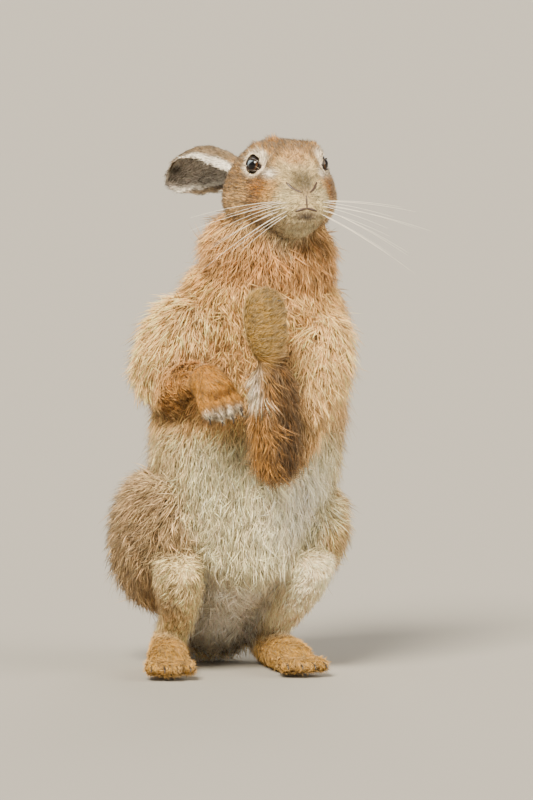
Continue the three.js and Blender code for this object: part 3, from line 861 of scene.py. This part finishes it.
def trunk_layers(points, normals):
    """The grizzled back, the cream belly above its lower edge, the paler lap under the edge, and a painted
    pool of light on the belly's left."""
    x, _, z = points.T
    front = ramp(-normals[:, 1], -0.1, 0.75)
    back = ramp(normals[:, 1], 0.0, 0.8) * ramp(z, 40, 90)
    trunk = np.array([n in ("abdomen", "chest", "tail") for n in FLESH])[region]
    arms = np.array([n.startswith(("forearm", "forepaw", "upper_arm")) for n in FLESH])[region]
    middle = front * (1 - ramp(abs(x - 18), 52, 74)) * ~arms
    above = ramp(z - belly_edge(x), -8, 6)
    layers = [(0.75 * back, "#a8977c")]
    for centre, reach, strength, code in BODY_SPOTS:
        layers += [(strength * spot(points, centre, reach), code)]
    return layers + [
        (0.95 * middle * above * (1 - ramp(z, 186, 222)), "#e7dbb5"),
        (0.9 * trunk * front * (1 - above) * (1 - ramp(abs(x - 8), 60, 75)), "#f2ece2"),
        # painted light: a pool of light on the belly's left
        (0.85 * trunk * spot(points, *PAINTED_BELLY_LIGHT), "#fffaf0"),
    ]


def face_layers(points):
    """The spots of the face, and a pale ring round each eye, 11.4 mm from its middle."""
    face = face_places(points)
    eye = np.linalg.norm(face - EYE_PLACE, axis=1)
    layers = []
    for centre, reach, strength, code in FACE_SPOTS:
        layers += [(strength * spot(face, centre, reach, 3), code)]
    return layers + [(0.8 * np.exp(-((eye - 11.4) / 2.1) ** 2), "#f2e8d3")]


def tint(points, normals, base):
    """The region's colour with the markings, painted shade and painted light mixed in one after the other:
    each moves it by its weight of the way to its own colour. The crest's golden comes last."""
    layers = trunk_layers(points, normals) + face_layers(points) + forearm_layers(points)
    layers += paw_layers(points) + ear_layers(points, normals)
    layers += [(crest(points), "#d0903a")]
    made = base
    for weight, code in layers:
        made = made + weight[:, None] * (linear(code) - made)
    return made


skin_colour = tint(skin, skin_normals, colour)
print("mean colour of the skin, linear:", skin_colour.mean(axis=0).round(2))

# %% The skin's material
def skin_material():
    """Underfur: a matt, short felt, mottled at a few millimetres, a little darker than the tufts on it."""
    material, shader = new_material("underfur felt", Roughness=0.9, Specular_IOR_Level=0.15)
    place = add(material, "ShaderNodeTexCoord")
    markings_and_painted_light = add(material, "ShaderNodeVertexColor", layer_name="coat")
    mottle = add(material, "ShaderNodeTexNoise", {"Scale": 260.0, "Detail": 6.0},
                 {"Vector": place.outputs["Object"]})
    shade = add(material, "ShaderNodeMapRange",
                {"From Min": 0.3, "From Max": 0.7, "To Min": 0.72, "To Max": 1.0},
                {"Value": mottle.outputs["Fac"]})
    mixed = add(material, "ShaderNodeVectorMath", None,
                {0: markings_and_painted_light.outputs["Color"], 1: shade.outputs["Result"]}, operation="MULTIPLY")
    felt = add(material, "ShaderNodeTexNoise", {"Scale": 1400.0, "Detail": 3.0},
               {"Vector": place.outputs["Object"]})
    bump = add(material, "ShaderNodeBump", {"Strength": 0.5, "Distance": 0.0006},
               {"Height": felt.outputs["Fac"]})
    feed(material, shader.inputs["Base Color"], mixed.outputs["Vector"])
    feed(material, shader.inputs["Normal"], bump.outputs["Normal"])
    return material


hide = make_piece("skin", skin, skin_faces, skin_material(), colours=skin_colour)
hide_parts(*FLESH)
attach(hide, "root")
print("skin piece made, in place of", len(FLESH), "nodes")

# %% [markdown]
# The coat is made of small closed spikes. Each is a thin, three-sided tuft of hairs that leaves the skin at
# an angle, bends over along the lie, and ends in a point that leans to its neighbours' tips. Thousands of
# them are worked out at once: every array below holds one row for each tuft.

# %% Where the tufts root
def scattered(rng, density):
    """Roots spread over the skin's triangles, as many as the area in sq cm times the density there."""
    a, b, c = (skin[skin_faces[:, k]] for k in range(3))
    area = np.linalg.norm(np.cross(b - a, c - a), axis=1) / 2 / 100
    wanted = area * density[skin_faces].mean(axis=1)
    number = np.floor(wanted + rng.random(len(wanted))).astype(int)
    face = np.repeat(np.arange(len(skin_faces)), number)
    u, v = rng.random((2, len(face)))
    over = u + v > 1
    u[over], v[over] = 1 - u[over], 1 - v[over]
    return face, np.stack([1 - u - v, u, v], axis=1)


def at_roots(values, face, share):
    """The skin's values at the roots: each corner's value by its share of the triangle."""
    corners = values[skin_faces[face]]
    return np.einsum("nk,nk...->n...", share, corners)


def clumps(roots, rng, cell):
    """The number of each root's clump: roots in one cell, cell mm wide, of a wavering grid share theirs."""
    waver = roots + rng.normal(0, 0.22 * cell, roots.shape)
    _, group = np.unique(np.floor(waver / cell).astype(np.int64), axis=0, return_inverse=True)
    return group.reshape(-1)


def leaned(roots, group):
    """From each root to the middle of its clump's roots, where the clump's tips meet."""
    number = np.bincount(group)
    middle = np.stack([np.bincount(group, roots[:, k]) / number for k in range(3)], axis=1)
    return middle[group] - roots


# %% The shape of a tuft
RING = np.array([[-0.5, 0.0], [0.5, 0.0], [0.0, 0.45]])  # across and outward, shares of the width
# where the rings are, their widths, and how much darker the root is than the tip: partly the hair's
# banding, partly painted shade deep in the coat
LONG_TUFT = (np.array([-0.05, 0.4, 0.75]), np.array([0.8, 1.0, 0.65]), 0.9)
SHORT_TUFT = (np.array([-0.1, 0.55]), np.array([0.8, 0.9]), 0.9)
SPIKE = (np.array([-0.1]), np.array([1.35]), 0.6)


def tuft_faces(number, rings):
    """Triangles of all tufts: a root cap, the sides between rings, and the point."""
    one = [(0, 2, 1)]
    for r in range(rings - 1):
        for k in range(3):
            a, b = 3 * r + k, 3 * r + (k + 1) % 3
            one += [(a, b, b + 3), (a, b + 3, a + 3)]
    last = 3 * (rings - 1)
    one += [(last + k, last + (k + 1) % 3, 3 * rings) for k in range(3)]
    step = (3 * rings + 1) * np.arange(number)[:, None, None]
    return (np.array(one)[None] + step).reshape(-1, 3)


def tuft_points(t, form):
    """Points of all tufts. The line is root + length (s cos a + 0.12 s^2) along + length sin a
    (s - 0.35 s^2) normal + lean s^1.5, where s is the share of the length and a the standing angle.
    A ring lies across the line: its corners are the width's shares of RING, across and outward."""
    steps, taper = form[:2]
    across = unit(np.cross(t["normal"], t["along"]))
    s = np.append(steps, 1.0)[None, :, None]
    sin, cos = np.sin(t["stand"])[:, None, None], np.cos(t["stand"])[:, None, None]
    long = t["length"][:, None, None]
    line = (t["root"][:, None] + long * (s * cos + 0.12 * s * s) * t["along"][:, None]
            + long * sin * (s - 0.35 * s * s) * t["normal"][:, None]
            + t["lean"][:, None] * np.maximum(s, 0) ** 1.5)
    half = (t["width"][:, None] * taper)[:, :, None, None]
    ring = RING[:, :1] * across[:, None, None, :] + RING[:, 1:] * t["normal"][:, None, None, :]
    rings = line[:, :-1, None, :] + half * ring
    return np.concatenate([rings.reshape(len(half), -1, 3), line[:, -1:]], axis=1)


# %% [markdown]
# The export paints each piece's colours on an image, at the place that a map named OFBake gives. Each node
# of the skin has a cell of the map, where it is unrolled round its own long axis, and each tuft is a small
# patch at its root's place there.

# %% The map for the export
CHART_COLUMNS = 5  # cells side by side on the map
CELL_EDGE = 0.03  # share of a cell's width that stays empty along its edge
PATCH = 0.003  # width of a tuft's patch on the map


def unroll(points, regions):
    """Places on the map: in its node's cell, across is the angle round the node's longest axis and up is
    the share of the way along it."""
    places = np.zeros((len(points), 2))
    for index, name in enumerate(FLESH):
        here = regions == index
        own = solids[name][0]
        middle = own.mean(axis=0)
        axes = np.linalg.eigh(np.cov((own - middle).T))[1]
        reach = (own - middle) @ axes[:, 2]
        away = (points[here] - middle) @ axes
        turn = np.arctan2(away[:, 1], away[:, 0]) / (2 * np.pi) + 0.5
        rise = np.clip((away[:, 2] - reach.min()) / np.ptp(reach), 0, 1)
        cell = np.array([index % CHART_COLUMNS, index // CHART_COLUMNS])
        inside = CELL_EDGE + (1 - 2 * CELL_EDGE) * np.stack([turn, rise], axis=1)
        places[here] = (cell + inside) / CHART_COLUMNS
    return places


def patches(places, form):
    """Each tuft's points on the map: its rings' corners side by side, its rings one above the other."""
    rings = len(form[0])
    x = np.append(np.tile([-0.5, 0.5, 0.0], rings), 0.0)
    y = np.append(np.repeat(np.linspace(-0.5, 0.35, rings), 3), 0.5)
    return places[:, None] + PATCH * np.stack([x, y], axis=1)


# %% [markdown]
# Hare fur is banded: dark at the root, tawny or cream along the hair, and either pale or dark brown at the
# tip. The dark tips are what makes the head, the ears and the back look grizzled. The dark roots are also
# painted shade, which stands in for the shade deep in the coat.

# %% Colours along a tuft
# the chance that a tuft ends dark
GRIZZLE = {
    "head": 0.6, "muzzle": 0.12, "ear": 0.45, "neck": 0.1, "chest": 0.1, "abdomen": 0.06, "tail": 0.1,
    "thigh": 0.3, "upper_arm": 0.08, "shank": 0.05, "hindfoot": 0.02, "forearm": 0.03, "forepaw": 0.02,
}
grizzle = smoothed(by_region(GRIZZLE, 0.1), 0.5, 14)
grizzle = np.maximum(grizzle, 0.45 * ramp(skin_normals[:, 1], 0.0, 0.8) * ramp(skin[:, 2], 40, 90))
DARK_TIP = linear("#3d2c1c")
BLONDE_TIP = linear("#f7e9cc")
# how far the coat is tousled, as a share of the trunk's
TOUSLED = {
    "head": 0.35, "muzzle": 0.2, "ear": 0.3, "forepaw": 0.4, "hindfoot": 0.5, "forearm": 0.8, "shank": 0.7,
}
tousled = smoothed(by_region(TOUSLED, 1.0), 0.5, 10)
print("tufts that end dark:", (100 * grizzle.min()).round(), "to", (100 * grizzle.max()).round(), "%")


def tuft_colours(rng, t, form):
    """Colours for each tuft's points: the base colour times a shade for the ring, dark at the root by the
    form's third number and light to the tip, partly the hair's banding and partly painted shade deep in the
    coat, times shades of the clump's and the tuft's own. Pale fur varies less. Many tufts end paler, at
    0.45 BLONDE_TIP + 1.1 base, and some end dark."""
    number = len(t["base"])
    soft = 1 - 0.7 * ramp(t["base"].mean(axis=1), 0.5, 0.8)[:, None, None]
    own = 1 + t["shade"][:, None, None] * soft + rng.normal(0, 0.22, (number, 1, 1)) * soft
    own = np.clip(own, 0.4, 1.7) * (1 + rng.normal(0, 0.03, (number, 1, 3)))
    steps = np.append(np.repeat(form[0], 3), 1.0)[None, :, None]
    # partly painted shade: the darker root is the hair's banding and also stands in for the shade deep in
    # the coat
    shade = 1.15 - form[2] * soft * (1 - ramp(steps, -0.1, 0.7))
    pale = 0.65 * ramp(steps, 0.35, 1.0) * rng.random((number, 1, 1)) ** 1.5
    colours = t["base"][:, None] * shade * own
    tip = 0.45 * BLONDE_TIP + 1.1 * t["base"][:, None]
    colours = colours + pale * (tip - colours)
    dark = t["dark"][:, None, None] * (0.55 + 0.4 * rng.random((number, 1, 1))) * ramp(steps, 0.3, 0.75)
    return np.clip(colours + dark * (DARK_TIP - colours), 0, 1)


# %% The coat's material
def coat_material():
    """Hare fur: dry keratin hairs with no varnish, so a wide soft highlight and a faint sheen."""
    material, shader = new_material("hare fur", Roughness=0.62, Specular_IOR_Level=0.2,
                                    Sheen_Weight=0.06, Sheen_Roughness=0.5)
    feed_coat_colour(material, shader)
    return material


fur_material = coat_material()

# %% Grow the coat
MAX_TRIANGLES = 190000  # in a piece of the coat
LONG_COAT = ("upper_arm", "neck")
VELVET = ("muzzle", "head", "ear", "forepaw", "hindfoot")  # where the fur is so short that spikes make it
FLOOR_CLEAR = 0.3  # mm: no tuft reaches under the floor
RIM_CLEAR, CLEFT_CLEAR = 3.0, 1.3  # mm from the eyeball and from a cleft's line that stay bare
CLUMPS = (15.0, 5.0, 2.4)  # mm: the widths of wide, small and fine clumps
TURN, BEND, STRAY = 0.3, 0.16, 0.12  # of the flow, for a wide clump, a small one and a single tuft
GUARD_SHARE, GUARD_LENGTH, GUARD_WIDTH = 0.07, 1.2, 0.55  # guard hairs: how many, how long and how wide


def bare(points):
    """True where no tuft roots: over the eyeballs and rims, and along the nostrils, lip and mouth."""
    empty = np.zeros(len(points), bool)
    for side in SIDES:
        away, turn, angle = eye_places(points, side)
        near = np.linalg.norm(away, axis=1) < EYE_RADIUS + RIM_CLEAR
        empty |= near & (angle < opening(turn, side) + 0.1)
    for path in cleft_lines.values():
        for place in path:
            empty |= np.linalg.norm(points - place, axis=1) < CLEFT_CLEAR
    return empty


def round_eyes(roots, flow, reach=15.0):
    """Near an eye, 1.15 of the part of the flow that runs at the eye is taken out: hairs pass round it."""
    for side in SIDES:
        away = roots - eye_centre(side)
        far = np.linalg.norm(away, axis=1, keepdims=True)
        inward = np.maximum(-(flow * unit(away)).sum(axis=1, keepdims=True), 0)
        flow = flow + 1.15 * (1 - ramp(far, reach, reach + 7)) * inward * unit(away)
    return flow


def grow(rng, face, share):
    """All that is known of the tufts rooted at places of the skin. Wide clumps share a turn of the flow,
    small ones a bend, a length and a shade, fine ones a shade and a dark end. One hair in fourteen is a
    long thin guard hair that goes astray twice as far."""
    number = len(face)
    roots = at_roots(skin, face, share)
    normals = unit(at_roots(skin_normals, face, share))
    length, width, stand, _ = at_roots(fur, face, share).T
    tousle = at_roots(tousled, face, share)[:, None]
    wide, small, fine = (clumps(roots, rng, cell) for cell in CLUMPS)
    turn = rng.normal(0, TURN, (wide.max() + 1, 3))[wide]
    swing = rng.normal(0, 1, (small.max() + 1, 5))[small]
    speckle = rng.random((fine.max() + 1, 2))[fine]
    guard = rng.random(number) < GUARD_SHARE
    flow = unit(at_roots(lie, face, share)) + tousle * (turn + BEND * swing[:, :3])
    stray = np.where(guard, 2 * STRAY, STRAY)[:, None]
    flow = round_eyes(roots, flow + rng.normal(0, 1, (number, 3)) * stray)
    along = unit(flow - normals * (flow * normals).sum(axis=1, keepdims=True))
    long = length * np.clip(rng.normal(1.0, 0.2, number) + 0.12 * swing[:, 3], 0.45, 1.4)
    wide_by = np.clip(rng.normal(1.0, 0.2, number), 0.6, 1.5) * np.where(guard, GUARD_WIDTH, 1.0)
    return {
        "root": roots,
        "normal": normals,
        "along": along,
        "length": long * np.where(guard, GUARD_LENGTH, 1.0),
        "width": width * wide_by,
        "stand": np.radians(np.clip(stand + rng.normal(0, 8, number) + 12 * guard, 4, 75)),
        "lean": 0.55 * leaned(roots, small) + 0.13 * tousle * long[:, None] * swing[:, :3],
        "base": at_roots(skin_colour, face, share),
        "dark": speckle[:, 0] < at_roots(grizzle, face, share),
        "shade": 0.28 * swing[:, 4] + 0.8 * (speckle[:, 1] - 0.5),
        "place": unroll(roots, region[skin_faces[face, 0]]),
    }


def make_coat(name, t, rng, form):
    """One piece of the coat from its tufts, kept off the floor."""
    points = tuft_points(t, form)
    points[..., 2] = np.maximum(points[..., 2], FLOOR_CLEAR)
    piece = make_piece(name, points.reshape(-1, 3), tuft_faces(len(points), len(form[0])), fur_material,
                       colours=tuft_colours(rng, t, form).reshape(-1, 3),
                       bake_uv=patches(t["place"], form).reshape(-1, 2))
    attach(piece, "root")


def tuft_form(name):
    """A node's tufts have three rings on the long coat, one on velvet and two elsewhere."""
    if name.startswith(LONG_COAT):
        return LONG_TUFT
    return SPIKE if name.startswith(VELVET) else SHORT_TUFT


rng = np.random.default_rng(7)
coat_face, coat_share = scattered(rng, fur[:, 3])
coat_region = region[skin_faces[coat_face, 0]]
clear = ~bare(at_roots(skin, coat_face, coat_share))
total = 0
for index, name in enumerate(FLESH):
    form = tuft_form(name)
    triangles_each = len(tuft_faces(1, len(form[0])))
    here = np.flatnonzero((coat_region == index) & clear)
    parts = int(np.ceil(len(here) * triangles_each / MAX_TRIANGLES))
    for part in range(parts):
        chosen = here[part::parts]
        label = f"coat_{name}" if parts == 1 else f"coat_{name}_{part + 1}"
        made = grow(rng, coat_face[chosen], coat_share[chosen])
        make_coat(label, made, rng, form)
    total += len(here) * triangles_each
    print(name, len(here), "tufts")
print("coat triangles", total)

# %% [markdown]
# The light is that of a bright, hazy day: a broad soft sun from the upper left, a weaker one from the
# right, a faint one from behind, and a pale sky that fills the shadows. A sun lamp falls off nowhere, so
# the floor stays even to its end.

# %% The floor and the light
FLOOR_HALF = 60000.0  # mm
LIT_PLACE = Vector((0, 0, 0.25))  # metres: what the suns look at
# name, place in metres it shines from, width in degrees and power of each sun
SUNS = [
    ("key", (-1.4, -2.2, 2.6), 22, 10.5),
    ("fill", (2.4, -1.8, 1.2), 50, 4.2),
    ("rim", (0.8, 2.2, 1.8), 30, 1.6),
]


def make_floor():
    """A wide, pale, matt board under the soles."""
    material, _ = new_material("matt backdrop board", Base_Color=paint("#8f8e8b"), Roughness=0.95)
    corners = FLOOR_HALF * np.array([[-1, -1, 0], [1, -1, 0], [1, 1, 0], [-1, 1, 0]], float) - SHIFT
    corners[:, 2] = 0
    floor = make_piece("floor", corners, [(0, 1, 2, 3)], material, smooth=False)


def make_sky():
    """An even pale sky."""
    world = bpy.data.worlds.new("studio")
    bpy.context.scene.world = world
    world.use_nodes = True
    sky = world.node_tree.nodes["Background"]
    sky.inputs["Color"].default_value = paint("#fff8ee")
    sky.inputs["Strength"].default_value = 0.55


def make_sun(name, place, angle, power):
    """A sun lamp whose beam runs from place to LIT_PLACE."""
    light = bpy.data.lights.new(name, "SUN")
    light.color = linear("#fff0d6")
    light.energy, light.angle = power, np.radians(angle)
    lamp = bpy.data.objects.new(name, light)
    lamp.location = place
    lamp.rotation_mode = "QUATERNION"
    lamp.rotation_quaternion = (LIT_PLACE - Vector(place)).to_track_quat("-Z", "Y")
    bpy.context.scene.collection.objects.link(lamp)


make_floor()
make_sky()
for sun in SUNS:
    make_sun(*sun)
print("suns", [name for name, *_ in SUNS])
